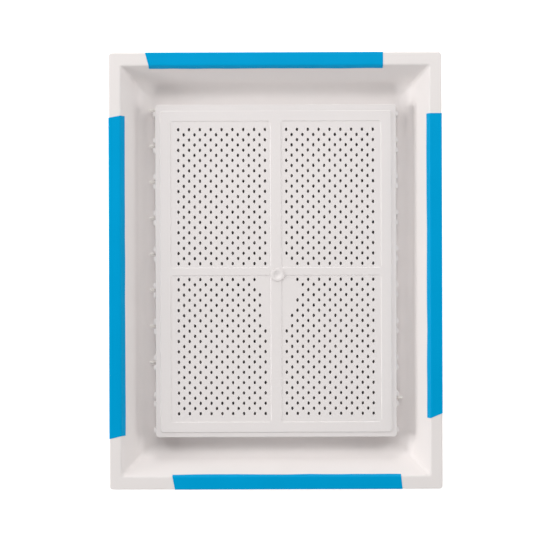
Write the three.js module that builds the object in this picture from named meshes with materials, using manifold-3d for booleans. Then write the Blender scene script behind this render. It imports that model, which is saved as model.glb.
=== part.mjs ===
// A shallow nest tray for a laying hen: a moulded tray with a flat rim, a raised nest floor that
// lifts out, nine loose rods across the underside of that floor, and four strips of tape on the rim.
// Millimetres, +Z up, +Y towards the back. The origin is the middle of the tray's underside.

import * as THREE from "three";
import { mergeVertices } from "three/addons/utils/BufferGeometryUtils.js";
import Module from "manifold-3d";

const wasm = await Module();
wasm.setup();

// Tray
const TRAY_WIDTH = 305; // along X, over the rim
const TRAY_LENGTH = 400; // along Y, over the rim
const TRAY_HEIGHT = 35; // underside to the top of the rim
const TRAY_CORNER = 3; // outer corner radius in plan
const RIM_SIDE = 11; // flat top of the rim along a long side, with its rounded edges
const RIM_END = 12; // the same at the two short sides
const RIM_THICKNESS = 3;
const LIP_DEPTH = 10; // the rim's outer edge turns down this far below its top
const LIP_WALL = 2.4;
const WALL_THICKNESS = 2.4; // sloped walls, measured level
const WALL_RUN = 16.7; // how far a wall leans out between the floor and the rim
const BASE_THICKNESS = 2.5;
const CAVITY_CORNER = 2.5;
const FOOT_SETBACK = 5; // size of the soft corner where a wall meets the base
const EDGE_SETBACK = 1.5; // size of the soft corners along the rim

// Nest floor
const MOAT_SIDE = 13.4; // base left bare between the nest floor and a long wall's foot
const MOAT_END = 17.55; // the same at the two short walls
const NEST_ASIDE = 0.4; // the loose nest floor lies this far right of the tray's middle
const SEAT_GAP = 0.3; // clearance between the nest floor's foot and the tray's base
const NEST_HEIGHT = 18; // foot to the top of the border band
const SKIRT_WALL = 2;
const NEST_CORNER = 2.5;
const LEDGE_WIDTH = 4.5; // step outside the border band
const LEDGE_BACK = 5.8; // the same step at the back
const LEDGE_DROP = 1.2;
const BAND_WIDTH = 9.5; // border band, outside edge to the fields
const FIELD_DROP = 0.6; // the four fields lie this far below the band and the cross ribs
const FIELD_CORNER = 1.5;
const PLATE_THICKNESS = 2.2; // plate under the fields
const LONG_RIB_WIDTH = 9.7; // rib along Y
const CROSS_RIB_WIDTH = 7.1; // rib along X
const WEB_THICKNESS = 2; // upright webs under the ribs
const WEB_LIFT = 1; // webs stop this far above the skirt's foot
const SOFT_EDGE = 0.4; // soft corners on the nest floor's upper edges

// Boss near the middle of the nest floor
const BOSS_DIAMETER = 12;
const BOSS_HEIGHT = 0.9; // above the ribs
const BOSS_ASIDE = 1.4; // from the middle of the cross ribs to the right
const BOSS_FORWARD = 3; // and to the front
const DIMPLE_DIAMETER = 7.6;
const DIMPLE_DEPTH = 1.1; // below the boss's top

// Rods
const ROD_COUNT = 9;
const ROD_DIAMETER = 2.8;
const ROD_CLEARANCE = 0.3; // radial, in the skirt and the long web
const ROD_PLATE_GAP = 8; // from a rod to the plate above it
const ROD_THROW = 6.6; // how far one end stands out when the other is flush with the skirt
const ROD_NOSE = 2.4; // length of the rounded tip
const FIRST_ROD_GAP = 0.4; // from the back rod to the skirt's back wall
const LAST_ROD_INSET = 35.4; // from the front rod's axis to the skirt's front face

// Ears on the skirt, one on each side of a rod end. The row goes on for one place more than there are
// rods: there the front wall of the skirt leaves no room for a rod.
const EAR_PLACES = ROD_COUNT + 1;
const EAR_ROD_GAP = 0.85; // from the side of a rod to the ear beside it
const EAR_LENGTH = 4.7;
const EAR_PROUD = 2;
const EAR_BELOW_LEDGE = 0.4;
const EAR_LIFT = 2.8; // ears stop this far above the skirt's foot

// Tape
const TAPE_THICKNESS = 0.5;
const TAPE_GAP = 0.3; // clearance between the tape and the tray
const TAPE_OUTER_FOLD = 7; // how far the tape folds down the rim's lip
const TAPE_INNER_FOLD = 8; // how far it folds down the sloped wall

const ARC_STEPS = 4; // facets in a quarter-round corner
const ROD_SIDES = 12;
const BORE_SIDES = 12;
const BOSS_SIDES = 24;
const CUT_OVERRUN = 1; // cutters run this far past the faces they cut
const WELD = 0.5; // pieces of one moulding run this far into each other

// Sizes and levels that follow from the driving dimensions
const cavityWidth = TRAY_WIDTH - 2 * (RIM_SIDE + WALL_RUN);
const cavityLength = TRAY_LENGTH - 2 * (RIM_END + WALL_RUN);
const nestWidth = cavityWidth - 2 * MOAT_SIDE;
const nestLength = cavityLength - 2 * MOAT_END;
const nestFootZ = BASE_THICKNESS + SEAT_GAP;
const bandZ = nestFootZ + NEST_HEIGHT;
const ledgeZ = bandZ - LEDGE_DROP;
const fieldZ = bandZ - FIELD_DROP;
const plateZ = fieldZ - PLATE_THICKNESS;
const rodRadius = ROD_DIAMETER / 2;
const rodZ = plateZ - ROD_PLATE_GAP - rodRadius;
const rodLength = nestWidth + ROD_THROW;
const bandY = (LEDGE_WIDTH - LEDGE_BACK) / 2; // middle of the border band and the cross ribs
const firstRodY = nestLength / 2 - SKIRT_WALL - rodRadius - FIRST_ROD_GAP;
const lastRodY = LAST_ROD_INSET - nestLength / 2;
const rodPitch = (firstRodY - lastRodY) / (ROD_COUNT - 1);
const earYs = Array.from({ length: EAR_PLACES }, (_, i) => firstRodY - i * rodPitch);
const rodYs = earYs.slice(0, ROD_COUNT);
const earSpacing = ROD_DIAMETER + 2 * EAR_ROD_GAP + EAR_LENGTH; // middle to middle across a rod

const trayWhite = { color: 0xe6e2e0, roughness: 0.48, metalness: 0 };
const nestWhite = { color: 0xe2dddb, roughness: 0.55, metalness: 0 };
const rodWhite = { color: 0xe9e4df, roughness: 0.4, metalness: 0 };
const tapeBlue = { color: 0x0099d0, roughness: 0.25, metalness: 0 };

// A closed three.js geometry as a solid that can be joined and cut.
function toSolid(geometry) {
  const bare = geometry.clone();
  bare.deleteAttribute("normal");
  bare.deleteAttribute("uv");
  const merged = mergeVertices(bare, 1e-4);
  return new wasm.Manifold(
    new wasm.Mesh({
      numProp: 3,
      vertProperties: merged.getAttribute("position").array,
      triVerts: new Uint32Array(merged.index.array),
    }),
  );
}

// A solid as a three.js geometry again.
function toGeometry(solid) {
  const { vertProperties, triVerts } = solid.getMesh();
  const geometry = new THREE.BufferGeometry();
  geometry.setAttribute("position", new THREE.BufferAttribute(vertProperties, 3));
  geometry.setIndex(new THREE.BufferAttribute(triVerts, 1));
  return geometry.toNonIndexed();
}

function namedMesh(name, geometry, finish) {
  geometry.computeVertexNormals();
  const mesh = new THREE.Mesh(geometry, new THREE.MeshStandardMaterial(finish));
  mesh.name = name;
  return mesh;
}

// A rectangle centred on the origin with round corners.
function roundedRectangle(width, length, radius) {
  const shape = new THREE.Shape();
  const x = width / 2 - radius;
  const y = length / 2 - radius;
  shape.absarc(x, y, radius, 0, Math.PI / 2);
  shape.absarc(-x, y, radius, Math.PI / 2, Math.PI);
  shape.absarc(-x, -y, radius, Math.PI, 1.5 * Math.PI);
  shape.absarc(x, -y, radius, 1.5 * Math.PI, 2 * Math.PI);
  return shape;
}

// A line through [x, y, setback] corners. A corner with a setback is a curve that starts and ends
// that far from it.
function softPath(corners) {
  const points = corners.map(([x, y]) => new THREE.Vector2(x, y));
  const path = new THREE.Path();
  path.moveTo(points[0].x, points[0].y);
  for (let i = 1; i < points.length; i++) {
    const setback = corners[i][2] ?? 0;
    if (setback === 0) {
      path.lineTo(points[i].x, points[i].y);
      continue;
    }
    const before = points[i].clone().add(points[i - 1].clone().sub(points[i]).setLength(setback));
    const after = points[i].clone().add(points[i + 1].clone().sub(points[i]).setLength(setback));
    path.lineTo(before.x, before.y);
    path.quadraticCurveTo(points[i].x, points[i].y, after.x, after.y);
  }
  return path.getPoints(ARC_STEPS);
}

// A block over a rounded rectangle. Its sides follow a profile of [offset, z] corners, bottom to
// top, where the offset moves the whole outline outwards.
function profiledBlock(width, length, radius, corners) {
  const profile = softPath(corners);
  const steps = profile.length - 1;
  const geometry = new THREE.ExtrudeGeometry(roundedRectangle(width, length, radius), {
    depth: steps,
    steps,
    bevelEnabled: false,
    curveSegments: ARC_STEPS,
  });
  const position = geometry.getAttribute("position");
  for (let i = 0; i < position.count; i++) {
    const { x: offset, y: z } = profile[Math.round(position.getZ(i))];
    const x = position.getX(i);
    const y = position.getY(i);
    position.setXYZ(i, x + Math.sign(x) * offset, y + Math.sign(y) * offset, z);
  }
  return toSolid(geometry);
}

function straightBlock(width, length, radius, bottom, top) {
  return profiledBlock(width, length, radius, [
    [0, bottom],
    [0, top],
  ]);
}

function box(width, length, bottom, top, x = 0, y = 0) {
  const geometry = new THREE.BoxGeometry(width, length, top - bottom);
  geometry.translate(x, y, (bottom + top) / 2);
  return toSolid(geometry);
}

// Tray: sloped walls, base and rim in one moulding. The rim's outer edge turns down as a lip.
function makeTray() {
  const underRimZ = TRAY_HEIGHT - RIM_THICKNESS;
  const shell = profiledBlock(cavityWidth, cavityLength, CAVITY_CORNER, [
    [WALL_THICKNESS - FOOT_SETBACK, 0],
    [WALL_THICKNESS, 0, FOOT_SETBACK / 2],
    [WALL_RUN + WALL_THICKNESS, TRAY_HEIGHT - WELD],
  ]);
  const cavity = profiledBlock(cavityWidth, cavityLength, CAVITY_CORNER, [
    [-2 * FOOT_SETBACK, BASE_THICKNESS],
    [0, BASE_THICKNESS, FOOT_SETBACK],
    [WALL_RUN, TRAY_HEIGHT, EDGE_SETBACK],
    [WALL_RUN + 2 * EDGE_SETBACK, TRAY_HEIGHT],
    [WALL_RUN + 2 * EDGE_SETBACK, TRAY_HEIGHT + CUT_OVERRUN],
  ]);
  const rim = profiledBlock(TRAY_WIDTH, TRAY_LENGTH, TRAY_CORNER, [
    [0, TRAY_HEIGHT - LIP_DEPTH],
    [0, TRAY_HEIGHT, EDGE_SETBACK],
    [-RIM_SIDE / 2, TRAY_HEIGHT],
  ]);
  const underRim = straightBlock(
    TRAY_WIDTH - 2 * LIP_WALL,
    TRAY_LENGTH - 2 * LIP_WALL,
    TRAY_CORNER,
    TRAY_HEIGHT - LIP_DEPTH - CUT_OVERRUN,
    underRimZ,
  );
  return rim.subtract(underRim).add(shell).subtract(cavity);
}

// Outer body of the nest floor: skirt, ledge and border band, still filled.
function nestBody() {
  const skirt = profiledBlock(nestWidth, nestLength, NEST_CORNER, [
    [0, nestFootZ],
    [0, ledgeZ, SOFT_EDGE],
    [-LEDGE_WIDTH / 2, ledgeZ],
  ]);
  const bandWidth = nestWidth - 2 * LEDGE_WIDTH;
  const bandLength = nestLength - LEDGE_WIDTH - LEDGE_BACK;
  const band = profiledBlock(bandWidth, bandLength, NEST_CORNER, [
    [0, ledgeZ - WELD],
    [0, bandZ, SOFT_EDGE],
    [-BAND_WIDTH / 2, bandZ],
  ]);
  return skirt.add(band.translate([0, bandY, 0]));
}

// The four sunken fields between the border band and the cross ribs.
function fieldPockets() {
  const width = nestWidth / 2 - LEDGE_WIDTH - BAND_WIDTH - LONG_RIB_WIDTH / 2;
  const length = (nestLength - LEDGE_WIDTH - LEDGE_BACK - CROSS_RIB_WIDTH) / 2 - BAND_WIDTH;
  const pockets = [];
  for (const sideX of [-1, 1]) {
    for (const sideY of [-1, 1]) {
      const x = (sideX * (LONG_RIB_WIDTH + width)) / 2;
      const y = bandY + (sideY * (CROSS_RIB_WIDTH + length)) / 2;
      const pocket = straightBlock(width, length, FIELD_CORNER, fieldZ, bandZ + CUT_OVERRUN);
      pockets.push(pocket.translate([x, y, 0]));
    }
  }
  return pockets;
}

// A round solid about the boss's upright axis. Its profile is [radius, z] corners, bottom to top.
function turned(corners) {
  const profile = corners.map(([radius, z]) => new THREE.Vector2(radius, z));
  const geometry = new THREE.LatheGeometry(profile, BOSS_SIDES);
  geometry.rotateX(Math.PI / 2);
  geometry.translate(BOSS_ASIDE, bandY - BOSS_FORWARD, 0);
  return toSolid(geometry);
}

// Raised round boss where the cross ribs meet.
function centreBoss() {
  const topZ = bandZ + BOSS_HEIGHT;
  return turned([
    [0, fieldZ - WELD],
    [BOSS_DIAMETER / 2, fieldZ - WELD],
    [BOSS_DIAMETER / 2, topZ - SOFT_EDGE],
    [BOSS_DIAMETER / 2 - SOFT_EDGE, topZ],
    [0, topZ],
  ]);
}

// The dimple in the boss, narrower at its bottom.
function bossDimple() {
  const topZ = bandZ + BOSS_HEIGHT;
  return turned([
    [0, topZ - DIMPLE_DEPTH],
    [DIMPLE_DIAMETER / 2 - SOFT_EDGE, topZ - DIMPLE_DEPTH],
    [DIMPLE_DIAMETER / 2, topZ],
    [DIMPLE_DIAMETER / 2, topZ + CUT_OVERRUN],
    [0, topZ + CUT_OVERRUN],
  ]);
}

// One ear: a half-round rib up the outside of the skirt.
function ear(sideX, y) {
  const shape = new THREE.Shape();
  shape.moveTo(-WELD, -EAR_LENGTH / 2);
  shape.lineTo(0, -EAR_LENGTH / 2);
  shape.absellipse(0, 0, EAR_PROUD, EAR_LENGTH / 2, -Math.PI / 2, Math.PI / 2, false, 0);
  shape.lineTo(-WELD, EAR_LENGTH / 2);
  const bottom = nestFootZ + EAR_LIFT;
  const geometry = new THREE.ExtrudeGeometry(shape, {
    depth: ledgeZ - EAR_BELOW_LEDGE - bottom,
    bevelEnabled: false,
    curveSegments: ARC_STEPS,
  });
  geometry.translate(0, 0, bottom);
  if (sideX < 0) geometry.rotateZ(Math.PI);
  geometry.translate((sideX * nestWidth) / 2, y, 0);
  return toSolid(geometry);
}

// The ears beside every place in the row. An ear that would pass the nest floor's end isn't there.
function ears() {
  const furthest = nestLength / 2 - NEST_CORNER - EAR_LENGTH / 2;
  const made = [];
  for (const middle of earYs) {
    for (const y of [middle - earSpacing / 2, middle + earSpacing / 2]) {
      if (Math.abs(y) > furthest) continue;
      made.push(ear(-1, y), ear(1, y));
    }
  }
  return made;
}

// A straight bore along X through both skirts and the long web.
function rodBore(y) {
  const radius = (rodRadius + ROD_CLEARANCE) / Math.cos(Math.PI / BORE_SIDES);
  const geometry = new THREE.CylinderGeometry(
    radius,
    radius,
    nestWidth + 2 * (EAR_PROUD + CUT_OVERRUN),
    BORE_SIDES,
  );
  geometry.rotateZ(Math.PI / 2);
  geometry.translate(0, y, rodZ);
  return toSolid(geometry);
}

// Nest floor: plate with border, ribs and boss above, skirt and webs below, in one moulding.
function makeNestFloor() {
  const hollow = straightBlock(
    nestWidth - 2 * SKIRT_WALL,
    nestLength - 2 * SKIRT_WALL,
    NEST_CORNER,
    nestFootZ - CUT_OVERRUN,
    plateZ,
  );
  const webBottom = nestFootZ + WEB_LIFT;
  const webTop = plateZ + WELD;
  const longWeb = box(WEB_THICKNESS, nestLength - SKIRT_WALL, webBottom, webTop);
  const crossWeb = box(nestWidth - SKIRT_WALL, WEB_THICKNESS, webBottom, webTop, 0, bandY);
  let nest = nestBody().subtract(hollow).add(longWeb).add(crossWeb);
  for (const pocket of fieldPockets()) nest = nest.subtract(pocket);
  nest = nest.add(centreBoss()).subtract(bossDimple());
  for (const piece of ears()) nest = nest.add(piece);
  for (const y of rodYs) nest = nest.subtract(rodBore(y));
  return nest;
}

// A rod along X with rounded tips. It is longer than the nest floor is wide.
function rodGeometry() {
  const straight = rodLength / 2 - ROD_NOSE;
  const tip = new THREE.EllipseCurve(0, straight, rodRadius, ROD_NOSE, 0, Math.PI / 2);
  const nose = tip.getPoints(ARC_STEPS);
  nose[ARC_STEPS].x = 0; // the tip closes on the rod's axis
  const tail = nose.map(({ x, y }) => new THREE.Vector2(x, -y)).reverse();
  const geometry = new THREE.LatheGeometry([...tail, ...nose], ROD_SIDES);
  geometry.rotateZ(Math.PI / 2);
  return geometry;
}

// Every rod is pushed to the left except the front one, which is pushed to the right.
function rodX(index) {
  return index === ROD_COUNT - 1 ? ROD_THROW / 2 : -ROD_THROW / 2;
}

// Section of the tape over a rim, with x outwards from the tray's middle. The tape folds down the
// lip outside and down the sloped wall inside.
function tapeSection(reach, rim) {
  const slope = new THREE.Vector2(-WALL_RUN, -(TRAY_HEIGHT - BASE_THICKNESS)).normalize();
  const fold = slope.clone().multiplyScalar(TAPE_INNER_FOLD);
  const innerX = reach - rim;
  const side = (lift) => {
    const level = slope.x * lift; // a line parallel to the wall, this far off it
    const drop = lift * (1 - Math.abs(slope.x)) / Math.abs(slope.y);
    const top = [innerX - drop, TRAY_HEIGHT + lift, EDGE_SETBACK];
    const foot = [innerX + fold.x + slope.y * lift, TRAY_HEIGHT + fold.y - level];
    return softPath([
      [reach + lift, TRAY_HEIGHT - TAPE_OUTER_FOLD],
      [reach + lift, TRAY_HEIGHT + lift, EDGE_SETBACK],
      top,
      foot,
    ]);
  };
  return new THREE.Shape([
    ...side(TAPE_GAP + TAPE_THICKNESS),
    ...side(TAPE_GAP).reverse(),
  ]);
}

// One strip along a side. It starts and ends at its insets from the tray's corners, and each end
// is cut slanted: the skew is how far the outer edge runs ahead of the inner edge.
function tapeGeometry({ reach, rim, span, startInset, endInset, startSkew, endSkew, turn }) {
  const length = span - startInset - endInset;
  const geometry = new THREE.ExtrudeGeometry(tapeSection(reach, rim), {
    depth: length,
    bevelEnabled: false,
  });
  const position = geometry.getAttribute("position");
  const middle = reach - rim / 2;
  for (let i = 0; i < position.count; i++) {
    const across = THREE.MathUtils.clamp((position.getX(i) - middle) / rim, -0.5, 0.5);
    const z = position.getZ(i);
    const skew = z < length / 2 ? startSkew : endSkew;
    position.setZ(i, z + skew * across);
  }
  const outwards = new THREE.Vector3(1, 0, 0);
  const upwards = new THREE.Vector3(0, 0, 1);
  const along = new THREE.Vector3(0, -1, 0);
  geometry.applyMatrix4(new THREE.Matrix4().makeBasis(outwards, upwards, along));
  geometry.translate(0, span / 2 - startInset, 0);
  geometry.rotateZ(turn);
  return geometry;
}

const alongSide = { reach: TRAY_WIDTH / 2, rim: RIM_SIDE, span: TRAY_LENGTH };
const alongEnd = { reach: TRAY_LENGTH / 2, rim: RIM_END, span: TRAY_WIDTH };
const tapes = {
  rim_tape_right: {
    ...alongSide, turn: 0, startInset: 56.2, endInset: 67, startSkew: 0, endSkew: -4.6,
  },
  rim_tape_front: {
    ...alongEnd, turn: -Math.PI / 2, startInset: 37.5, endInset: 58.7, startSkew: -1.3, endSkew: -2.3,
  },
  rim_tape_left: {
    ...alongSide, turn: Math.PI, startInset: 47.7, endInset: 58.6, startSkew: -2.7, endSkew: -2,
  },
  rim_tape_back: {
    ...alongEnd, turn: Math.PI / 2, startInset: 35.2, endInset: 53.6, startSkew: -3.3, endSkew: 0,
  },
};

const nestTray = new THREE.Group();
nestTray.name = "nest_tray_assembly";
nestTray.add(namedMesh("nest_tray", toGeometry(makeTray()), trayWhite));

const liftOutFloor = new THREE.Group();
liftOutFloor.name = "lift_out_floor";
liftOutFloor.position.x = NEST_ASIDE;
liftOutFloor.add(namedMesh("nest_floor", toGeometry(makeNestFloor()), nestWhite));
rodYs.forEach((y, index) => {
  const rod = namedMesh(`cross_rod_${index + 1}`, rodGeometry(), rodWhite);
  rod.position.set(rodX(index), y, rodZ);
  liftOutFloor.add(rod);
});
nestTray.add(liftOutFloor);

for (const [name, tape] of Object.entries(tapes)) {
  nestTray.add(namedMesh(name, tapeGeometry(tape), tapeBlue));
}

export default nestTray;
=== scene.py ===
"""A shallow nest tray with a raised perforated nest floor, laid out as a Blender add-on and run as a script.

The tray, the nest floor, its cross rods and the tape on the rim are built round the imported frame.
"""

import math
import random

import bmesh
import bpy
from bpy.props import FloatProperty, FloatVectorProperty, IntProperty, PointerProperty
from mathutils import Euler, Matrix, Vector, noise


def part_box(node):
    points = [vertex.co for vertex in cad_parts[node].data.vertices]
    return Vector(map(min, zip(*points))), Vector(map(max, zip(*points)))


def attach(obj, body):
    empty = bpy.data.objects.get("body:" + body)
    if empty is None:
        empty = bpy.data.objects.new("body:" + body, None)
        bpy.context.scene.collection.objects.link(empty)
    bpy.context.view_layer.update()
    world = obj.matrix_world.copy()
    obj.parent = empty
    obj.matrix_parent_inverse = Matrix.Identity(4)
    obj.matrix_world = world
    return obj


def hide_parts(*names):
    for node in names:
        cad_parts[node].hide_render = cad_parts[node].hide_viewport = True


bl_info = {
    "name": "Nest Tray",
    "version": (1, 0, 0),
    "blender": (4, 5, 0),
    "location": "View3D > Sidebar > Nest Tray",
    "description": "Builds a nest tray with a lift-out perforated floor, cross rods and rim tape",
    "category": "Add Mesh",
}

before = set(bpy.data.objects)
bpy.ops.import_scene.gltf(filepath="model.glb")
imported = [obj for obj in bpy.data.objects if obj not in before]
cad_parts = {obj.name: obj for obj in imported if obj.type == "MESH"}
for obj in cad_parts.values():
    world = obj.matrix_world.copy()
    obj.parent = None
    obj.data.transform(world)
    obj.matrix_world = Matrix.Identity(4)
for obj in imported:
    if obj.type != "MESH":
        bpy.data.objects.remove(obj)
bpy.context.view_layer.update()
TRAY_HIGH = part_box("nest_tray")[1]
FLOOR_LOW, FLOOR_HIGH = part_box("nest_floor")
RODS = sorted(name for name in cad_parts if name.startswith("cross_rod_"))

MM = 0.001
SOFT_STEPS = 6  # facets in a soft edge
CORNER_STEPS = 8  # facets in a round corner seen from above
WELD = 0.3 * MM  # joined solids run this far into each other
SHARP_ANGLE = math.radians(35)

LAMP_COLOUR = (1, 0.985, 0.975)
# Softboxes all round the tray, most of the light from behind and from the left:
# (name, azimuth, elevation, share of the power)
SOFTBOXES = (
    ("back_low", 0, 20, 0.13),
    ("back_high", 0, 60, 0.09),
    ("back_left", 45, 40, 0.11),
    ("left_low", 90, 20, 0.27),
    ("front_low", 180, 20, 0.085),
    ("front_middle", 180, 40, 0.075),
    ("right_low", 270, 20, 0.13),
    ("back_right", 315, 40, 0.11),
)


# ---------------------------------------------------------------------------
# Settings
# ---------------------------------------------------------------------------


def length_property(name, description, millimetres):
    return FloatProperty(name=name, description=description, default=millimetres * MM, unit="LENGTH")


def count_property(name, description, count):
    return IntProperty(name=name, description=description, default=count, min=1)


def colour_property(name, description, colour):
    return FloatVectorProperty(
        name=name, description=description, default=colour, size=3, subtype="COLOR", min=0, max=1
    )


class TraySettings(bpy.types.PropertyGroup):
    """Sizes of the moulded tray"""

    rim_side: length_property("Rim side", "Flat top of the rim along a long side", 11)
    rim_end: length_property("Rim end", "Flat top of the rim along a short side", 12)
    rim_thickness: length_property("Rim thickness", "Thickness of the rim's flat", 3)
    lip_depth: length_property("Lip depth", "How far the rim's outer edge turns down", 10)
    lip_wall: length_property("Lip wall", "Thickness of the turned-down lip", 2.4)
    wall_run: length_property("Wall run", "How far the walls lean out", 16.7)
    wall_thickness: length_property("Wall thickness", "Level thickness of the walls", 2.4)
    base_thickness: length_property("Base thickness", "Thickness of the base", 2.5)
    outer_corner: length_property("Outer corner", "Corner radius of the rim", 3)
    inner_corner: length_property("Inner corner", "Corner radius of the cavity", 2.5)
    foot_setback: length_property("Foot softness", "Soft corner between a wall and the base", 10)
    edge_setback: length_property("Edge softness", "Soft corner along the rim", 1.5)


class FloorSettings(bpy.types.PropertyGroup):
    """Sizes of the perforated nest floor"""

    corner: length_property("Corner", "Corner radius of the skirt", 2.5)
    skirt_wall: length_property("Skirt wall", "Thickness of the skirt", 2)
    ledge_width: length_property("Ledge width", "Step outside the border band", 4.5)
    ledge_back: length_property("Ledge at the back", "The same step at the back", 5.8)
    ledge_drop: length_property("Ledge drop", "Height of that step", 1.2)
    band_width: length_property("Band width", "Border band round the fields", 9.2)
    field_drop: length_property("Field drop", "Depth of the fields below the band", 0.6)
    field_slope: length_property("Field slope", "Width of the slope round a field", 0.7)
    field_corner: length_property("Field corner", "Corner radius of a field", 1.5)
    plate: length_property("Plate", "Thickness of the plate under the fields", 2.2)
    long_rib: length_property("Long rib", "Width of the rib along the floor", 9)
    cross_rib: length_property("Cross rib", "Width of the rib across the floor", 6.4)
    web: length_property("Web", "Thickness of the webs under the ribs", 2)
    web_lift: length_property("Web lift", "Gap between the webs and the skirt's foot", 1)
    soft_edge: length_property("Soft edge", "Softness of the upper edges", 0.8)
    boss_diameter: length_property("Boss", "Diameter of the centre boss", 12)
    boss_height: length_property("Boss height", "Height of the boss above the ribs", 0.9)
    boss_aside: length_property("Boss aside", "Boss right of the ribs' crossing", 1.4)
    boss_forward: length_property("Boss forward", "Boss in front of the ribs' crossing", 3)
    dimple_diameter: length_property("Dimple", "Diameter of the boss's dimple", 7.6)
    dimple_depth: length_property("Dimple depth", "Depth below the boss's top", 1.1)
    ear_spacing: length_property("Ear spacing", "Distance between the ears at a rod end", 9.2)
    ear_length: length_property("Ear length", "Length of an ear along the skirt", 4.7)
    ear_proud: length_property("Ear stand-off", "How far an ear stands out", 2)
    ear_below_ledge: length_property("Ear top", "Ear top below the ledge", 0.8)
    ear_lift: length_property("Ear foot", "Ear foot above the skirt's foot", 2.8)
    rod_clearance: length_property("Rod clearance", "Radial clearance in a rod's bore", 0.3)


class PerforationSettings(bpy.types.PropertyGroup):
    """The staggered pattern of oval holes"""

    columns: count_property("Columns", "Half pitches across a field", 17)
    rows: count_property("Rows", "Half pitches along a field", 27)
    pitch_x: length_property("Half pitch across", "Distance between columns", 5.011)
    pitch_y: length_property("Half pitch along", "Distance between rows", 4.769)
    start_x: length_property("Start across", "First column from the floor's middle", 9.825)
    start_y: length_property("Start along", "First row from the floor's middle", 7.356)
    width: length_property("Hole width", "Hole width across the floor", 2.2)
    height: length_property("Hole height", "Hole length along the floor", 3.2)
    flare: length_property("Flare", "Soft edge round a hole's mouth", 0.25)
    closed_left: count_property("Closed left", "Columns left closed at the wedge's widest, left", 1)
    closed_right: count_property("Closed right", "Columns left closed at the wedge's widest, right", 2)
    closed_rows: count_property("Closed rows", "Rows over which the wedge runs out", 8)


class RodSettings(bpy.types.PropertyGroup):
    """The loose cross rods"""

    nose: length_property("Nose", "Length of a rod's rounded tip", 2.4)
    sides: count_property("Sides", "Facets round a rod", 24)


class TapeSettings(bpy.types.PropertyGroup):
    """The film tape folded over the rim"""

    thickness: length_property("Thickness", "Thickness of the film", 0.16)
    lift: length_property("Lift", "Gap between the film and the tray", 0.05)
    outer_fold: length_property("Outer fold", "How far it folds down the lip", 6.5)
    back_fold: length_property("Back fold", "Inner fold of the back strip", 5)
    right_fold: length_property("Right fold", "Inner fold of the right strip", 5.3)
    front_fold: length_property("Front fold", "Inner fold of the front strip", 2.9)
    left_fold: length_property("Left fold", "Inner fold of the left strip", 7)
    wave: length_property("Wave", "Unevenness of the cut edges", 0.3)


class FinishSettings(bpy.types.PropertyGroup):
    """Colours of the finishes"""

    tray: colour_property("Tray", "Colour of the tray's plastic", (0.88, 0.845, 0.835))
    floor: colour_property("Floor", "Colour of the nest floor's plastic", (0.87, 0.835, 0.83))
    rod: colour_property("Rods", "Colour of the rods", (0.89, 0.86, 0.82))
    tape: colour_property("Tape", "Colour of the tape", (0.0, 0.37, 0.72))


class StageSettings(bpy.types.PropertyGroup):
    """Floor, lights and camera"""

    camera_height: FloatProperty(
        name="Camera height", description="Above the rim", default=1.4, unit="LENGTH"
    )
    view_width: FloatProperty(
        name="View width", description="Width seen at the rim", default=0.5031, unit="LENGTH"
    )
    view_aside: length_property("View aside", "Middle of the view right of the tray's middle", -0.5)
    view_drop: length_property("View drop", "Middle of the view in front of the tray's middle", 3.9)
    roll: FloatProperty(
        name="Roll", description="Turn of the camera", default=math.radians(-0.18), unit="ROTATION"
    )
    softbox_distance: FloatProperty(
        name="Softbox distance", description="From the tray", default=2.0, unit="LENGTH"
    )
    softbox_size: FloatProperty(
        name="Softbox size", description="Side of a softbox", default=0.8, unit="LENGTH"
    )
    power: FloatProperty(
        name="Power", description="Power of the softboxes together", default=77, unit="POWER"
    )
    surroundings: FloatProperty(name="Surroundings", description="Brightness of the room", default=0.02)


class NestTraySettings(bpy.types.PropertyGroup):
    """Everything that the panel lists"""

    tray: PointerProperty(type=TraySettings)
    floor: PointerProperty(type=FloorSettings)
    perforations: PointerProperty(type=PerforationSettings)
    rods: PointerProperty(type=RodSettings)
    tape: PointerProperty(type=TapeSettings)
    finish: PointerProperty(type=FinishSettings)
    stage: PointerProperty(type=StageSettings)


# ---------------------------------------------------------------------------
# Mesh helpers
# ---------------------------------------------------------------------------


def soft_path(corners, steps=SOFT_STEPS):
    """Points along a line whose corners are softened. A corner is (point, setback)."""
    points = [Vector(corners[0][0])]
    for before, (corner, setback), after in zip(corners, corners[1:], corners[2:]):
        corner = Vector(corner)
        if not setback:
            points.append(corner)
            continue
        start = corner + (Vector(before[0]) - corner).normalized() * setback
        end = corner + (Vector(after[0]) - corner).normalized() * setback
        for step in range(steps + 1):
            t = step / steps
            points.append(start * (1 - t) ** 2 + corner * (2 * t * (1 - t)) + end * t**2)
    points.append(Vector(corners[-1][0]))
    return points


def rounded_outline(half_x, half_y, radius, steps=CORNER_STEPS):
    """Points round a rectangle with round corners, anticlockwise from the right-hand side."""
    points = []
    for quarter, (sign_x, sign_y) in enumerate([(1, 1), (-1, 1), (-1, -1), (1, -1)]):
        for step in range(steps + 1):
            angle = (quarter + step / steps) * math.pi / 2
            x = sign_x * (half_x - radius) + radius * math.cos(angle)
            y = sign_y * (half_y - radius) + radius * math.sin(angle)
            points.append((x, y))
    return points


def circle_angles(sides):
    """The angles of a polygon's corners, once round."""
    return [2 * math.pi * side / sides for side in range(sides)]


def rod_ring(x, y, z, radius, sides):
    """Points round a rod or a bore that runs across the floor."""
    return [(x, y + radius * math.cos(a), z + radius * math.sin(a)) for a in circle_angles(sides)]


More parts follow.
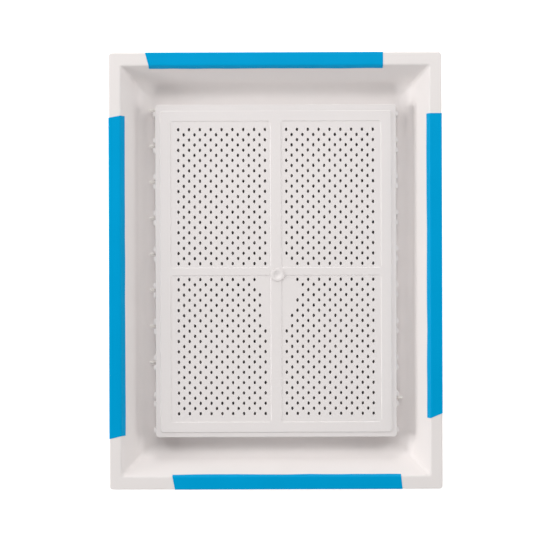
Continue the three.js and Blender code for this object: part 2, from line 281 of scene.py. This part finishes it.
def lofted(*stacks):
    """One mesh with a closed solid for every stack of rings, capped at both ends.

    All rings of a stack have the same number of points. The solids don't touch each other.
    """
    mesh = bmesh.new()
    for rings in stacks:
        rows = [[mesh.verts.new(point) for point in ring] for ring in rings]
        count = len(rows[0])
        for lower, upper in zip(rows, rows[1:]):
            for i in range(count):
                j = (i + 1) % count
                mesh.faces.new((lower[i], lower[j], upper[j], upper[i]))
        mesh.faces.new(reversed(rows[0]))
        mesh.faces.new(rows[-1])
    return mesh


def box_mesh(low, high):
    """A plain block between two corners."""
    outline = [(low[0], low[1]), (high[0], low[1]), (high[0], high[1]), (low[0], high[1])]
    return lofted([[(x, y, z) for x, y in outline] for z in (low[2], high[2])])


def moved_forward(mesh, distance):
    """The same mesh, moved towards the front."""
    bmesh.ops.translate(mesh, verts=mesh.verts, vec=(0, -distance, 0))
    return mesh


def new_object(name, mesh):
    """A linked object from a bmesh, which is freed."""
    data = bpy.data.meshes.new(name)
    mesh.to_mesh(data)
    mesh.free()
    piece = bpy.data.objects.new(name, data)
    bpy.context.scene.collection.objects.link(piece)
    return piece


def combine(piece, operation, mesh):
    """Joins a mesh to a piece or cuts it away, and keeps only the result."""
    tool = new_object("tool", mesh)
    modifier = piece.modifiers.new("combine", "BOOLEAN")
    modifier.operation = operation
    modifier.solver = "MANIFOLD"
    modifier.object = tool
    graph = bpy.context.evaluated_depsgraph_get()
    result = bpy.data.meshes.new_from_object(piece.evaluated_get(graph))
    if not result.polygons:
        raise RuntimeError(f"{piece.name}: nothing is left after {operation}")
    piece.modifiers.clear()
    old = piece.data
    piece.data = result
    bpy.data.meshes.remove(old)
    bpy.data.meshes.remove(tool.data)


def finished(piece, material, body, node):
    """Smooths a piece's shading, gives it its finish and ties it to the frame."""
    piece.data.materials.clear()
    piece.data.materials.append(material)
    for polygon in piece.data.polygons:
        polygon.use_smooth = True
    piece.data.set_sharp_from_angle(angle=SHARP_ANGLE)
    normals = piece.modifiers.new("normals", "WEIGHTED_NORMAL")
    normals.keep_sharp = True
    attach(piece, body)
    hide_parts(node)


# ---------------------------------------------------------------------------
# Shader helpers
# ---------------------------------------------------------------------------


class Value:
    """A shader socket that takes part in Python arithmetic."""

    def __init__(self, graph, socket):
        self.graph = graph
        self.socket = socket

    def maths(self, operation, first, second):
        return self.graph.node("ShaderNodeMath", {"operation": operation}, {0: first, 1: second})

    def __add__(self, other):
        return self.maths("ADD", self, other)

    def __radd__(self, other):
        return self.maths("ADD", other, self)

    def __mul__(self, other):
        return self.maths("MULTIPLY", self, other)

    def __rmul__(self, other):
        return self.maths("MULTIPLY", other, self)

    def clamped(self, low, high):
        return self.graph.node("ShaderNodeClamp", {}, {"Value": self, "Min": low, "Max": high})


class Finish:
    """A material whose nodes are added one call at a time."""

    def __init__(self, name):
        self.material = bpy.data.materials.new(name)
        self.material.use_nodes = True
        self.tree = self.material.node_tree
        self.shader = self.tree.nodes["Principled BSDF"]

    def connect(self, sockets, inputs):
        """Links the values among the inputs and sets the constants."""
        for key, value in inputs.items():
            if isinstance(value, Value):
                self.tree.links.new(value.socket, sockets[key])
            else:
                sockets[key].default_value = value

    def node(self, kind, settings, inputs, output=0):
        """Adds a node: its settings come first, then the values and links of its sockets."""
        made = self.tree.nodes.new(kind)
        for name, value in settings.items():
            setattr(made, name, value)
        self.connect(made.inputs, inputs)
        return Value(self, made.outputs[output])

    def place(self):
        """Coordinates in metres that stay with the piece."""
        return self.node("ShaderNodeTexCoord", {}, {}, "Object")

    def grain(self, scale, detail=2.0, roughness=0.5):
        """Noise between 0 and 1, with this many lumps a metre."""
        settings = {"noise_dimensions": "3D"}
        inputs = {"Vector": self.place(), "Scale": scale, "Detail": detail, "Roughness": roughness}
        return self.node("ShaderNodeTexNoise", settings, inputs, "Fac")

    def blend(self, factor, first, second):
        """A colour between two colours."""
        settings = {"data_type": "RGBA"}
        return self.node("ShaderNodeMix", settings, {0: factor, 6: first, 7: second}, 2)

    def bump(self, height, distance):
        """A surface raised by up to this distance where the height is 1."""
        inputs = {"Height": height, "Distance": distance, "Strength": 1.0}
        return self.node("ShaderNodeBump", {}, inputs, "Normal")

    def shade(self, inputs):
        """Sets the shader's sockets and gives the finished material."""
        self.connect(self.shader.inputs, inputs)
        return self.material


def tinted(colour, factor):
    """A colour made lighter or darker."""
    return (*[min(1.0, channel * factor) for channel in colour], 1.0)


def moulded_plastic(name, colour, grain_scale, grain_height, roughness):
    """Satin moulded plastic: a fine spark-eroded grain, faint flow marks and uneven gloss."""
    finish = Finish(name)
    clouds = finish.grain(14, 3)
    fine = finish.grain(grain_scale, 3, 0.6)
    coarse = finish.grain(grain_scale * 0.35, 2)
    mottle = (clouds * 0.6 + fine * 0.4).clamped(0, 1)
    colour_now = finish.blend(mottle, tinted(colour, 0.965), tinted(colour, 1.03))
    gloss = clouds * 0.12 + fine * 0.1 + (roughness - 0.11)
    surface = finish.bump(fine * 0.6 + coarse * 0.4, grain_height)
    return finish.shade(
        {
            "Base Color": colour_now,
            "Roughness": gloss,
            "Normal": surface,
            "Specular IOR Level": 0.35,
            "IOR": 1.49,
        }
    )


def film_tape(name, colour):
    """Glossy plastic film with faint ripples from being pressed down by hand."""
    finish = Finish(name)
    clouds = finish.grain(22, 2)
    ripple = finish.grain(160, 2)
    fine = finish.grain(1500, 2)
    colour_now = finish.blend(clouds, tinted(colour, 0.95), tinted(colour, 1.04))
    gloss = clouds * 0.1 + fine * 0.06 + 0.24
    surface = finish.bump(ripple * 0.8 + fine * 0.2, 0.12 * MM)
    return finish.shade(
        {
            "Base Color": colour_now,
            "Roughness": gloss,
            "Normal": surface,
            "Specular IOR Level": 0.05,
        }
    )


# ---------------------------------------------------------------------------
# Tray
# ---------------------------------------------------------------------------


def tray_profile(sizes):
    """The tray's section from the underside, round the rim and down to the base.

    A point is (half width, height, corner radius, half length less half width).
    """
    reach = TRAY_HIGH.x
    top = TRAY_HIGH.z
    outside = TRAY_HIGH.y - TRAY_HIGH.x
    inside = outside - sizes.rim_end + sizes.rim_side
    foot = reach - sizes.rim_side - sizes.wall_run
    outer_foot = foot + sizes.wall_thickness
    under_rim = top - sizes.rim_thickness
    neck = outer_foot + sizes.wall_run * (under_rim / top)
    lip = reach - sizes.lip_wall
    lip_foot = top - sizes.lip_depth
    inner = sizes.inner_corner
    shell = inner + sizes.wall_thickness
    outer = sizes.outer_corner
    lip_edge = 0.4 * MM
    return soft_path(
        [
            ((outer_foot - 2 * sizes.foot_setback, 0, shell, inside), 0),
            ((outer_foot, 0, shell, inside), sizes.foot_setback / 2),
            ((neck, under_rim, shell, inside), MM),
            ((lip, under_rim, outer, outside), 2 * lip_edge),
            ((lip, lip_foot, outer, outside), lip_edge),
            ((reach, lip_foot, outer, outside), lip_edge),
            ((reach, top, outer, outside), sizes.edge_setback),
            ((foot + sizes.wall_run, top, inner, inside), sizes.edge_setback),
            ((foot, sizes.base_thickness, inner, inside), sizes.foot_setback),
            ((foot - 2 * sizes.foot_setback, sizes.base_thickness, inner, inside), 0),
        ]
    )


def tray_mesh(sizes):
    """The tray as one moulding, its section carried round the corners of the rim and the walls."""
    rings = []
    for half_x, z, radius, stretch in tray_profile(sizes):
        outline = rounded_outline(half_x, half_x + stretch, radius)
        rings.append([(x, y, z) for x, y in outline])
    return lofted(rings)


# ---------------------------------------------------------------------------
# Nest floor
# ---------------------------------------------------------------------------


class FloorPlan:
    """Levels and places of the nest floor, worked out once from the frame and the settings.

    Places across and along are from the floor's own middle, which isn't the tray's. The border
    band, the ribs and the perforations have a middle of their own, a little forward of that.
    """

    def __init__(self, settings):
        sizes = settings.floor
        self.sizes = sizes
        self.foot = FLOOR_LOW.z
        self.band = FLOOR_HIGH.z - sizes.boss_height
        self.ledge = self.band - sizes.ledge_drop
        self.field = self.band - sizes.field_drop
        self.plate = self.field - sizes.plate
        self.middle = (FLOOR_LOW + FLOOR_HIGH) / 2
        self.half_y = FLOOR_HIGH.y - self.middle.y
        self.half_x = FLOOR_HIGH.x - self.middle.x - sizes.ear_proud
        self.forward = (sizes.ledge_back - sizes.ledge_width) / 2
        boxes = [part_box(name) for name in RODS]
        self.rod_radius = (boxes[0][1].z - boxes[0][0].z) / 2
        self.rod_z = (boxes[0][0].z + boxes[0][1].z) / 2
        self.rod_ys = [(low.y + high.y) / 2 - self.middle.y for low, high in boxes]

    def ear_ys(self):
        """Middles of the ears, front to back. An ear that would pass the floor's end isn't there.

        The row of ears goes on in front of the last rod, for one place more.
        """
        half = self.sizes.ear_spacing / 2
        furthest = self.half_y - self.sizes.corner - self.sizes.ear_length / 2
        rods = sorted(self.rod_ys)
        spare = 2 * rods[0] - rods[1]
        places = [y + side * half for y in (spare, *rods) for side in (-1, 1)]
        return sorted(y for y in places if abs(y) <= furthest)


def eared_outline(plan, half_x, half_y, radius, stand_off, forward):
    """A rounded rectangle whose long sides bulge at every ear by the stand-off."""
    sizes = plan.sizes
    bulge_steps = 10
    shrink = (half_y - radius) / (plan.half_y - sizes.corner)
    right = []
    for middle in plan.ear_ys():
        for step in range(bulge_steps + 1):
            angle = math.pi * step / bulge_steps
            y = (middle - sizes.ear_length / 2 * math.cos(angle)) * shrink
            right.append((half_x + stand_off * math.sqrt(max(0, math.sin(angle))), y))
    left = [(-x, y) for x, y in reversed(right)]
    corners = rounded_outline(half_x, half_y, radius)
    half = len(corners) // 2
    outline = right + corners[:half] + left + corners[half:]
    return [(x, y - forward) for x, y in outline]


def floor_body(plan):
    """Skirt, ledge and border band as one closed shell, open below and filled above."""
    sizes = plan.sizes
    inside = plan.half_x - sizes.skirt_wall
    band = plan.half_x - sizes.ledge_width
    ear_top = plan.ledge - sizes.ear_below_ledge
    ear_foot = plan.foot + sizes.ear_lift
    stretch = plan.half_y - plan.half_x
    ahead = plan.forward
    ear_round = 0.35 * MM  # height over which an ear's end rounds out to its full stand-off
    flat = 3 * MM  # level stretch inside the last corner, where the cap starts
    crease = 0.3 * MM
    ramp = [(t * ear_round, math.sin(t * math.pi / 2) * sizes.ear_proud) for t in (0, 0.25, 0.5, 0.75, 1)]
    ears = [(ear_foot + rise, stand_off) for rise, stand_off in ramp]
    ears += [(ear_top - rise, stand_off) for rise, stand_off in reversed(ramp)]
    # (half width, height, ear stand-off, how far forward the outline's middle is)
    corners = [
        ((inside - flat, plan.plate, 0, 0), 0),
        ((inside, plan.plate, 0, 0), 0.8 * MM),
        ((inside, plan.foot, 0, 0), crease),
        ((plan.half_x, plan.foot, 0, 0), crease),
        *[((plan.half_x, z, stand_off, 0), 0) for z, stand_off in ears],
        ((plan.half_x, plan.ledge, 0, 0), sizes.soft_edge),
        ((band, plan.ledge, 0, ahead), crease),
        ((band, plan.band, 0, ahead), sizes.soft_edge),
        ((band - flat, plan.band, 0, ahead), 0),
    ]
    rings = []
    for half_x, z, stand_off, forward in soft_path(corners, 4):
        half_y = half_x + stretch - forward
        outline = eared_outline(plan, half_x, half_y, sizes.corner, stand_off, forward)
        rings.append([(x, y, z) for x, y in outline])
    return lofted(rings)


def field_cutters(plan):
    """Four shallow pockets with sloping sides, about the middle of the ribs."""
    sizes = plan.sizes
    half_x = plan.half_x - sizes.ledge_width - sizes.band_width
    half_y = plan.half_y - plan.forward - sizes.ledge_width - sizes.band_width
    width = half_x - sizes.long_rib / 2
    length = half_y - sizes.cross_rib / 2
    above = 1 * MM
    slope = sizes.field_slope
    levels = [
        (-slope, plan.field),
        (0, plan.band),
        (slope * above / sizes.field_drop, plan.band + above),
    ]
    pockets = []
    for sign_x in (-1, 1):
        for sign_y in (-1, 1):
            x = sign_x * (sizes.long_rib + width) / 2
            y = sign_y * (sizes.cross_rib + length) / 2
            rings = []
            for grow, z in levels:
                outline = rounded_outline(width / 2 + grow, length / 2 + grow, sizes.field_corner)
                rings.append([(x + px, y + py, z) for px, py in outline])
            pockets.append(rings)
    return lofted(*pockets)


def is_closed(pattern, sign_x, sign_y, column, row):
    """True next to the boss, and in the wedge in front of it where the moulding has no holes."""
    if sign_y > 0:
        return sign_x > 0 and column == row == 0
    widest = pattern.closed_right if sign_x > 0 else pattern.closed_left
    return column <= widest * (1 - abs(row - widest) / (pattern.closed_rows - widest))


def hole_places(pattern):
    """Middles of the perforations: a staggered pattern, repeated in the four fields."""
    for sign_x in (-1, 1):
        for sign_y in (-1, 1):
            for column in range(pattern.columns):
                for row in range(pattern.rows):
                    staggered = (column + row) % 2 == 0
                    if staggered and not is_closed(pattern, sign_x, sign_y, column, row):
                        x = sign_x * (pattern.start_x + column * pattern.pitch_x)
                        y = sign_y * (pattern.start_y + row * pattern.pitch_y)
                        yield x, y


def hole_cutters(plan, pattern):
    """An oval punch for every perforation, flared where it enters the plate."""
    sides = 14
    flare = pattern.flare
    taper = 0.05 * MM
    below = 0.5 * MM
    levels = [
        (-taper, plan.plate - below),
        (0, plan.field - 2 * flare),
        (flare * 0.35, plan.field - flare * 0.6),
        (flare, plan.field),
        (flare * 1.6, plan.field + flare),
    ]
    punches = []
    for x, y in hole_places(pattern):
        rings = []
        for grow, z in levels:
            half_x = pattern.width / 2 + grow
            half_y = pattern.height / 2 + grow
            angles = circle_angles(sides)
            rings.append([(x + half_x * math.cos(a), y + half_y * math.sin(a), z) for a in angles])
        punches.append(rings)
    return lofted(*punches)


def boss_mesh(sizes, corners, sides=48):
    """A round solid about the boss's axis from (radius, height) corners, bottom to top."""
    x, y = sizes.boss_aside, -sizes.boss_forward
    rings = []
    for radius, z in soft_path(corners, 4):
        angles = circle_angles(sides)
        rings.append([(x + radius * math.cos(a), y + radius * math.sin(a), z) for a in angles])
    return lofted(rings)


def centre_boss(plan):
    """The round boss near the ribs' crossing, with a shallow dimple in its top."""
    sizes = plan.sizes
    radius = sizes.boss_diameter / 2
    top = plan.band + sizes.boss_height
    dimple = sizes.dimple_diameter / 2
    boss = [
        ((radius, plan.field - WELD), 0),
        ((radius, top), 0.45 * MM),
        ((dimple, top), 0.4 * MM),
    ]
    for share in (0.8, 0.6, 0.4, 0.2, 0.05):
        boss.append(((dimple * share, top - sizes.dimple_depth * (1 - share**2)), 0))
    return boss_mesh(sizes, boss)


def rod_bores(plan):
    """Straight bores through both skirts and the long web."""
    sides = 20
    past_ears = 4 * MM
    radius = plan.rod_radius + plan.sizes.rod_clearance
    ends = (-plan.half_x - past_ears, plan.half_x + past_ears)
    return lofted(*[[rod_ring(x, y, plan.rod_z, radius, sides) for x in ends] for y in plan.rod_ys])


def floor_webs(plan):
    """Upright webs under the two ribs, along and across."""
    sizes = plan.sizes
    low = plan.foot + sizes.web_lift
    high = plan.plate + WELD
    reach_x = plan.half_x - sizes.skirt_wall / 2
    reach_y = plan.half_y - sizes.skirt_wall / 2
    half = sizes.web / 2
    across = -plan.forward
    return [
        box_mesh((-half, -reach_y, low), (half, reach_y, high)),
        box_mesh((-reach_x, across - half, low), (reach_x, across + half, high)),
    ]


def build_floor(settings):
    """The nest floor in one moulding, built about its own middle and then put in its place."""
    plan = FloorPlan(settings)
    piece = new_object("nest_floor_panel", floor_body(plan))
    dimple_room = plan.sizes.boss_diameter / 2 - WELD
    well_levels = [((dimple_room, plan.field - WELD / 2), 0), ((dimple_room, plan.band + MM), 0)]
    well = boss_mesh(plan.sizes, well_levels)
    for cutter in (field_cutters(plan), hole_cutters(plan, settings.perforations), well):
        combine(piece, "DIFFERENCE", moved_forward(cutter, plan.forward))
    combine(piece, "UNION", moved_forward(centre_boss(plan), plan.forward))
    for web in floor_webs(plan):
        combine(piece, "UNION", web)
    combine(piece, "DIFFERENCE", rod_bores(plan))
    piece.data.transform(Matrix.Translation((plan.middle.x, plan.middle.y, 0)))
    return piece


# ---------------------------------------------------------------------------
# Rods
# ---------------------------------------------------------------------------


def rod_mesh(node, sizes):
    """A rod with rounded tips, where the frame has it."""
    low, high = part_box(node)
    y = (low.y + high.y) / 2
    z = (low.z + high.z) / 2
    radius = (high.z - low.z) / 2
    profile = []
    tip_steps = 6
    for step in range(1, tip_steps + 1):
        angle = math.pi / 2 * step / tip_steps
        profile.append((low.x + sizes.nose * (1 - math.cos(angle)), radius * math.sin(angle)))
    profile += [(low.x + high.x - x, r) for x, r in reversed(profile)]
    return lofted([rod_ring(x, y, z, r, sizes.sides) for x, r in profile])


# ---------------------------------------------------------------------------
# Tape
# ---------------------------------------------------------------------------


def film_line(tray, rim, lift, outer_fold, inner_fold):
    """The film's line over the rim: (outwards from the rim's outer edge, height), outside first."""
    top = TRAY_HIGH.z
    slope = Vector((-tray.wall_run, tray.base_thickness - top)).normalized()
    inner = -rim
    mitre = lift * (1 + slope.x) / -slope.y
    foot = Vector((inner, top)) + slope * inner_fold + Vector((slope.y, -slope.x)) * lift
    return soft_path(
        [
            ((lift, top - outer_fold), 0),
            ((lift, top + lift), tray.edge_setback),
            ((inner - mitre, top + lift), tray.edge_setback),
            (foot, 0),
        ],
        8,
    )


def strip_mesh(settings, node, turn, rim, inner_fold, skews, seed):
    """A strip of film along one side. The frame gives its ends; the skews slant them."""
    tray, tape = settings.tray, settings.tape
    low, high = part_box(node)
    corners = [Vector((x, y, 0)) for x in (low.x, high.x) for y in (low.y, high.y)]
    outwards = Vector((math.cos(turn), math.sin(turn), 0))
    along = Vector((math.sin(turn), -math.cos(turn), 0))
    start = min(c.dot(along) for c in corners) + abs(skews[0]) / 2
    end = max(c.dot(along) for c in corners) - abs(skews[1]) / 2
    reach = TRAY_HIGH.x if abs(outwards.x) > 0.5 else TRAY_HIGH.y
    stations = 160
    phase = random.Random(seed).uniform(0, 100)
    rings = []
    for station in range(stations + 1):
        t = station / stations
        ripple = noise.noise(Vector((t * 9, phase, 0)))
        fold = inner_fold + tape.wave * 2 * ripple
        drop = tape.outer_fold + tape.wave * noise.noise(Vector((t * 7, phase, 5)))
        inner_line = film_line(tray, rim, tape.lift, drop, fold)
        outer_line = film_line(tray, rim, tape.lift + tape.thickness, drop, fold)
        ring = []
        for place in (*outer_line, *reversed(inner_line)):
            across = min(0.5, max(-0.5, 0.5 + place.x / rim))
            skew = skews[0] * (1 - t) + skews[1] * t
            v = start + (end - start) * t + skew * across * (abs(2 * t - 1) ** 8)
            ring.append(outwards * (reach + place.x) + along * v + Vector((0, 0, place.y)))
        rings.append(ring)
    return lofted(rings)


# ---------------------------------------------------------------------------
# Operators
# ---------------------------------------------------------------------------


class NESTTRAY_OT_tray(bpy.types.Operator):
    """Build the moulded tray"""

    bl_idname = "nest_tray.tray"
    bl_label = "Tray"

    def execute(self, context):
        settings = context.scene.nest_tray
        material = moulded_plastic("tray_plastic", settings.finish.tray, 1400, 0.035 * MM, 0.46)
        piece = new_object("tray_moulding", tray_mesh(settings.tray))
        finished(piece, material, "tray", "nest_tray")
        return {"FINISHED"}


class NESTTRAY_OT_floor(bpy.types.Operator):
    """Build the perforated nest floor"""

    bl_idname = "nest_tray.floor"
    bl_label = "Nest Floor"

    def execute(self, context):
        settings = context.scene.nest_tray
        material = moulded_plastic("floor_plastic", settings.finish.floor, 900, 0.09 * MM, 0.52)
        finished(build_floor(settings), material, "floor", "nest_floor")
        return {"FINISHED"}


class NESTTRAY_OT_rods(bpy.types.Operator):
    """Build the loose cross rods"""

    bl_idname = "nest_tray.rods"
    bl_label = "Cross Rods"

    def execute(self, context):
        settings = context.scene.nest_tray
        material = moulded_plastic("rod_plastic", settings.finish.rod, 2200, 0.012 * MM, 0.4)
        for node in RODS:
            number = node.rsplit("_", 1)[1]
            piece = new_object(f"rod_{number}", rod_mesh(node, settings.rods))
            finished(piece, material, f"rod_{number}", node)
        return {"FINISHED"}


class NESTTRAY_OT_tape(bpy.types.Operator):
    """Lay the film tape over the rim"""

    bl_idname = "nest_tray.tape"
    bl_label = "Rim Tape"

    def execute(self, context):
        settings = context.scene.nest_tray
        tray, tape = settings.tray, settings.tape
        material = film_tape("rim_tape", settings.finish.tape)
        # (side, direction it faces, rim width, inner fold, slant of its two ends)
        strips = [
            ("right", 0, tray.rim_side, tape.right_fold, (0, -4.6 * MM)),
            ("front", -math.pi / 2, tray.rim_end, tape.front_fold, (-1.3 * MM, -2.3 * MM)),
            ("left", math.pi, tray.rim_side, tape.left_fold, (-2.7 * MM, -2 * MM)),
            ("back", math.pi / 2, tray.rim_end, tape.back_fold, (-3.3 * MM, 0)),
        ]
        for seed, (side, turn, rim, fold, skews) in enumerate(strips):
            node = f"rim_tape_{side}"
            mesh = strip_mesh(settings, node, turn, rim, fold, skews, seed)
            finished(new_object(f"tape_{side}", mesh), material, "tray", node)
        return {"FINISHED"}


def softbox(stage, name, azimuth, elevation, share):
    """A square lamp aimed at the tray. Azimuth 0 is behind it and 90 to its left."""
    data = bpy.data.lights.new(name, "AREA")
    data.size = stage.softbox_size
    data.energy = stage.power * share
    data.color = LAMP_COLOUR
    light = bpy.data.objects.new(name, data)
    turn = Euler((0, 0, math.radians(azimuth)))
    rise = Euler((math.radians(elevation), 0, 0))
    ahead = Vector((0, stage.softbox_distance, 0))
    ahead.rotate(rise)
    ahead.rotate(turn)
    light.location = ahead
    light.rotation_euler = (-ahead).to_track_quat("-Z", "Y").to_euler()
    bpy.context.scene.collection.objects.link(light)


def stage_floor():
    """A wide plain pale floor, a hair below the tray's underside."""
    half = 8  # metres, far past the camera's view
    level = -0.2 * MM
    mesh = bmesh.new()
    corners = ((-half, -half), (half, -half), (half, half), (-half, half))
    mesh.faces.new([mesh.verts.new((x, y, level)) for x, y in corners])
    floor = new_object("stage_floor", mesh)
    matt_white = {
        "Base Color": (0.9, 0.9, 0.9, 1),
        "Roughness": 0.9,
        "Emission Color": (1, 1, 1, 1),
        "Emission Strength": 0.5,
    }
    floor.data.materials.append(Finish("stage_floor").shade(matt_white))


class NESTTRAY_OT_stage(bpy.types.Operator):
    """Set up the pale floor, the soft lights and the camera"""

    bl_idname = "nest_tray.stage"
    bl_label = "Stage"

    def execute(self, context):
        stage = context.scene.nest_tray.stage
        scene = context.scene
        stage_floor()
        world = bpy.data.worlds.new("surroundings")
        world.use_nodes = True
        background = world.node_tree.nodes["Background"]
        background.inputs["Color"].default_value = (*LAMP_COLOUR, 1)
        background.inputs["Strength"].default_value = stage.surroundings
        scene.world = world
        for name, azimuth, elevation, share in SOFTBOXES:
            softbox(stage, name, azimuth, elevation, share)
        data = bpy.data.cameras.new("camera")
        camera = bpy.data.objects.new("camera", data)
        camera.location = (stage.view_aside, -stage.view_drop, TRAY_HIGH.z + stage.camera_height)
        camera.rotation_euler = (0, 0, stage.roll)
        data.lens = data.sensor_width * stage.camera_height / stage.view_width
        scene.collection.objects.link(camera)
        scene.camera = camera
        scene.view_settings.view_transform = "Standard"
        return {"FINISHED"}


class NESTTRAY_PT_panel(bpy.types.Panel):
    """Lists the pieces and the sizes they are built to"""

    bl_idname = "NESTTRAY_PT_panel"
    bl_label = "Nest Tray"
    bl_space_type = "VIEW_3D"
    bl_region_type = "UI"
    bl_category = "Nest Tray"

    def draw(self, context):
        settings = context.scene.nest_tray
        for operator in OPERATORS:
            self.layout.operator(operator.bl_idname)
        for group in ("tray", "floor", "perforations", "rods", "tape", "finish", "stage"):
            box = self.layout.box()
            box.label(text=group.capitalize())
            values = getattr(settings, group)
            for name in values.__annotations__:
                box.prop(values, name)


OPERATORS = (
    NESTTRAY_OT_stage,
    NESTTRAY_OT_tray,
    NESTTRAY_OT_floor,
    NESTTRAY_OT_rods,
    NESTTRAY_OT_tape,
)
CLASSES = (
    TraySettings,
    FloorSettings,
    PerforationSettings,
    RodSettings,
    TapeSettings,
    FinishSettings,
    StageSettings,
    NestTraySettings,
    *OPERATORS,
    NESTTRAY_PT_panel,
)


def register():
    for item in CLASSES:
        bpy.utils.register_class(item)
    bpy.types.Scene.nest_tray = PointerProperty(type=NestTraySettings)


def unregister():
    del bpy.types.Scene.nest_tray
    for item in reversed(CLASSES):
        bpy.utils.unregister_class(item)


def main():
    register()
    for operator in OPERATORS:
        group, name = operator.bl_idname.split(".")
        getattr(getattr(bpy.ops, group), name)()


if __name__ == "__main__":
    main()
